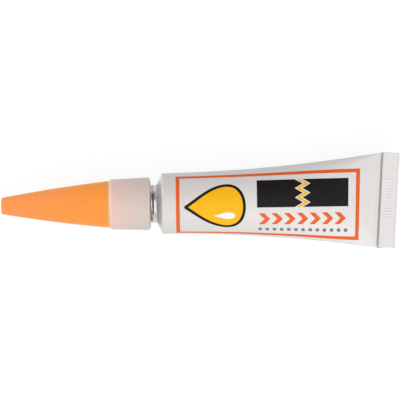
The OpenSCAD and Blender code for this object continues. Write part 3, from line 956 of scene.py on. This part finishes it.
def add_print(name, shapes, material, layer=1):
    """Lays thin ink on the sleeve. A shape is a list of loops of (x, v) points, holes after the first."""
    flat = bmesh.new()
    for loops in shapes:
        loops = [[Vector((x, v, 0)) for x, v in loop] for loop in loops]
        corners = [flat.verts.new(point) for loop in loops for point in loop]
        for triangle in tessellate_polygon(loops):
            flat.faces.new([corners[i] for i in triangle])
    plan = np.array([vert.co for vert in flat.verts])
    for axis, step in ((0, CUT_X), (1, CUT_V)):
        across = Vector((axis == 0, axis == 1, 0))
        for cut in np.arange(plan[:, axis].min() + step / 2, plan[:, axis].max(), step):
            everything = flat.verts[:] + flat.edges[:] + flat.faces[:]
            bmesh.ops.bisect_plane(flat, geom=everything, plane_co=across * cut, plane_no=across)
    bmesh.ops.remove_doubles(flat, verts=flat.verts, dist=PLAN_MERGE)
    flat.verts.index_update()
    x, v = np.array([vert.co[:2] for vert in flat.verts]).T
    count = len(x)
    faces = [tuple(vert.index for vert in face.verts) for face in flat.faces]
    rim = [tuple(vert.index for vert in edge.verts) for edge in flat.edges if edge.is_boundary]
    flat.free()
    over, normals = on_sleeve(x, v, layer * INK_T)
    under, normals = on_sleeve(x, v, -INK_SUNK)
    solid = faces + [tuple(i + count for i in face) for face in faces]
    solid += [(a, b, b + count, a + count) for a, b in rim]
    add_piece(
        name, np.concatenate([over, under]), solid, "tube", material, "enamelled_aluminium", "tube_shell",
        normals=np.concatenate([normals, normals]))


def rectangle(x0, x1, v0, v1):
    return [(x0, v0), (x1, v0), (x1, v1), (x0, v1)]


def circle(x, v, radius):
    angles = np.linspace(0, 2 * math.pi, DOT_SIDES, endpoint=False)
    return [(x + radius * math.cos(a), v + radius * math.sin(a)) for a in angles]


def drop(x, v, length, width, grown=0.0, count=96):
    """Drop with its tip towards the cap, grown all round by a distance.

    If that is below 0, points that would cross the middle line are left out, so the tip stays sharp.
    """
    angles = np.linspace(0, 2 * math.pi, count, endpoint=False)
    side = width / DROP_SPAN * np.sin(angles) * np.sin(angles / 2) ** DROP_POWER
    points = np.stack([x - length / 2 * np.cos(angles), v + side], axis=-1)
    ahead = np.roll(points, -1, axis=0) - np.roll(points, 1, axis=0)
    ahead /= np.linalg.norm(ahead, axis=1, keepdims=True)
    grown_points = points + grown * np.stack([-ahead[:, 1], ahead[:, 0]], axis=-1)
    if grown < 0:
        kept = (grown_points[:, 1] - v) * np.sin(angles) > 0
        kept[count // 2] = True
        grown_points = grown_points[kept]
    return grown_points.tolist()


def zigzag(x, v0, v1, teeth, depth):
    """Line of teeth across the label at x."""
    places = enumerate(np.linspace(v0, v1, 2 * teeth + 1))
    return [(x + depth * (1 if i % 2 else -1) / 2, v) for i, v in places]


def shifted(line, distance):
    return [(x + distance, v) for x, v in line]


def add_label():
    """Border and a plain pattern: a drop, two plates that it joins, chevrons and dots."""
    outer = rectangle(*LABEL_X, *LABEL_V)
    inner = rectangle(
        LABEL_X[0] + LABEL_LINE, LABEL_X[1] - LABEL_LINE, LABEL_V[0] + LABEL_LINE, LABEL_V[1] - LABEL_LINE)
    add_print("label_border", [[outer, inner]], ORANGE)

    drop_x, drop_v, drop_l, drop_w = 11.2, -0.9, 12.4, 9.4
    drop_line = 0.42
    add_print("label_drop_line", [[drop(drop_x, drop_v, drop_l, drop_w, drop_line)]], BLACK)
    add_print("label_drop", [[drop(drop_x, drop_v, drop_l, drop_w, -drop_line / 2)]], YELLOW, layer=2)
    glint_off, glint_l, glint_w = 2.0, 4.6, 1.5
    glint = drop(drop_x + glint_off, drop_v - glint_off, glint_l, glint_w, count=40)
    add_print("label_glint", [[glint]], WHITE, layer=3)

    plate_x, seam_x, plate_end = 20.2, 30.0, 39.8
    plate_v, plate_top = -1.2, 4.9
    teeth = zigzag(seam_x, plate_v, plate_top, teeth=3, depth=1.7)
    gap = 0.85
    left = [(plate_x, plate_top), (plate_x, plate_v)] + shifted(teeth, -gap)
    right = [(plate_end, plate_top), (plate_end, plate_v)] + shifted(teeth, gap)
    add_print("label_plates", [[left], [right]], BLACK)
    seam = shifted(teeth, -gap / 2) + shifted(teeth, gap / 2)[::-1]
    add_print("label_seam", [[seam]], YELLOW)

    chevron_count, chevron_x, chevron_v, chevron_pitch = 7, plate_x + 0.3, -3.75, 2.72
    size, arm = 1.3, 1.2
    chevrons = []
    for i in range(chevron_count):
        x = chevron_x + i * chevron_pitch
        chevrons.append([[
            (x, chevron_v - size), (x + arm, chevron_v - size), (x + arm + size, chevron_v),
            (x + arm, chevron_v + size), (x, chevron_v + size), (x + size, chevron_v)]])
    add_print("label_chevrons", chevrons, ORANGE)

    dot_count, dot_x, dot_v, dot_pitch, dot_r = 13, plate_x + 0.6, -6.4, 1.54, 0.42
    dots = [[circle(dot_x + i * dot_pitch, dot_v, dot_r)] for i in range(dot_count)]
    add_print("label_dots", dots, GREY)


add_sleeve()
add_head()
add_tail_fold()
add_label()
add_nozzle()
add_cap()
seal_x = SLEEVE_L - 2 * PINCH_L
add_filling(
    "sealing_band", seal_x - SEAL_L, seal_x, SEAL_INSET, BODY_R, SEAL_BREADTH, latex(),
    "sealing_latex", "tail_seal")
glue_x = SHOULDER_T + RIM_L + GLUE_GAP
glue_level = BODY_R - WALL - HEADSPACE
add_filling(
    "glue_charge", glue_x, SLEEVE_L - FILL_STOP, GLUE_INSET, glue_level, GLUE_BREADTH, glue(),
    "clear_adhesive", "adhesive")
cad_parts["neck_membrane"].material_slots[0].material = foil()


# Camera, which looks straight down as in the photograph

# Photograph in pixels, breadth of the view and distance in millimetres, sensor in Blender's units,
# nearest distance drawn in metres, pixel of the shoulder edge on the axis, and the camera's turn
PHOTO_SIZE = 400
FRAME_W = 85.8
VIEW_DISTANCE = 900
SENSOR_W = 36
CLIP_START = 0.01
SHOULDER_PIXEL = (162.5, 203.5)
ROLL = math.radians(-0.9)


def add_camera():
    pixel = FRAME_W / PHOTO_SIZE
    right = (PHOTO_SIZE / 2 - SHOULDER_PIXEL[0]) * pixel
    up = (SHOULDER_PIXEL[1] - PHOTO_SIZE / 2) * pixel
    data = bpy.data.cameras.new("camera")
    data.lens = SENSOR_W * VIEW_DISTANCE / FRAME_W
    data.sensor_width = SENSOR_W
    data.clip_start = CLIP_START
    camera = bpy.data.objects.new("camera", data)
    x = SHOULDER_X + right * math.cos(ROLL) - up * math.sin(ROLL)
    y = right * math.sin(ROLL) + up * math.cos(ROLL)
    camera.location = Vector((x, y, AXIS_Z + VIEW_DISTANCE)) * MM
    camera.rotation_euler = (0, 0, ROLL)
    bpy.context.scene.collection.objects.link(camera)
    bpy.context.scene.camera = camera


# Light and floor

# Floor in metres, its glow and its white where it is seen, and its colour for all other light
FLOOR_SIZE = 3.0
FLOOR_GLOW = 0.85
FLOOR_WHITE = (0.17, 0.17, 0.17, 1)
FLOOR_PLAIN = (0.45, 0.45, 0.46, 1)
# Light from all round, its darker patch, and where along Y and Z that comes in
SKY = (0.80, 0.80, 0.82)
SKY_PATCH = (0.34, 0.335, 0.38)
PATCH_Y = (0.05, 0.55)
PATCH_Z = (0.2, 0.4)


def add_floor():
    """White floor that keeps the part's shadow."""
    mesh = bpy.data.meshes.new("floor")
    half = FLOOR_SIZE / 2
    corners = [(-half, -half, 0), (half, -half, 0), (half, half, 0), (-half, half, 0)]
    mesh.from_pydata(corners, [], [(0, 1, 2, 3)])
    material = bpy.data.materials.new("white_floor")
    material.use_nodes = True
    tree = material.node_tree
    tree.nodes.clear()
    path = add_node(tree, "LightPath")
    seen = path.outputs["Is Camera Ray"]
    for ray in ("Is Glossy Ray", "Is Transmission Ray"):
        seen = calculate(tree, "MAXIMUM", seen, path.outputs[ray])
    plain = add_node(tree, "BsdfDiffuse", {"Color": FLOOR_PLAIN}).outputs["BSDF"]
    shade = add_node(tree, "BsdfDiffuse", {"Color": FLOOR_WHITE}).outputs["BSDF"]
    glow = add_node(tree, "Emission", {"Strength": FLOOR_GLOW}).outputs["Emission"]
    white = add_node(tree, "AddShader", {0: glow, 1: shade}).outputs["Shader"]
    surface = add_node(tree, "MixShader", {0: seen, 1: plain, 2: white}).outputs["Shader"]
    add_node(tree, "OutputMaterial", {"Surface": surface})
    mesh.materials.append(material)
    floor = bpy.data.objects.new("floor", mesh)
    bpy.context.scene.collection.objects.link(floor)


def add_lamp(name, place_at, size, power):
    """Soft square lamp aimed at the tube, in metres and watts."""
    data = bpy.data.lights.new(name, "AREA")
    data.size = size
    data.energy = power
    lamp = bpy.data.objects.new(name, data)
    lamp.visible_camera = False
    lamp.location = place_at
    aim = Vector((0, 0, AXIS_Z * MM)) - lamp.location
    lamp.rotation_euler = aim.to_track_quat("-Z", "Y").to_euler()
    bpy.context.scene.collection.objects.link(lamp)


def add_world():
    """Pale studio light, with a darker patch high on the +Y side for the metal to show."""
    world = bpy.data.worlds.new("studio")
    bpy.context.scene.world = world
    world.use_nodes = True
    tree = world.node_tree
    tree.nodes.clear()
    spot = add_node(tree, "TexCoord").outputs["Generated"]
    parts = add_node(tree, "SeparateXYZ", {"Vector": spot})
    side = spread(tree, parts.outputs["Y"], 0, 1, *PATCH_Y)
    high = spread(tree, parts.outputs["Z"], 0, 1, *PATCH_Z)
    colour = tint(tree, calculate(tree, "MULTIPLY", side, high), SKY, SKY_PATCH)
    light = add_node(tree, "Background", {"Color": colour, "Strength": 1.0}).outputs["Background"]
    add_node(tree, "OutputWorld", {"Surface": light})


add_camera()
add_floor()
add_lamp("key", place_at=(0.14, -0.26, 0.34), size=0.3, power=0.7)
add_lamp("top", place_at=(0.08, 0.04, 0.48), size=0.3, power=0.3)
add_lamp("cap_fill", place_at=(-0.09, 0.075, 0.04), size=0.05, power=0.036)
add_lamp("low_fill", place_at=(-0.11, -0.12, 0.05), size=0.06, power=0.015)
add_world()
bpy.context.scene.view_settings.view_transform = "Standard"
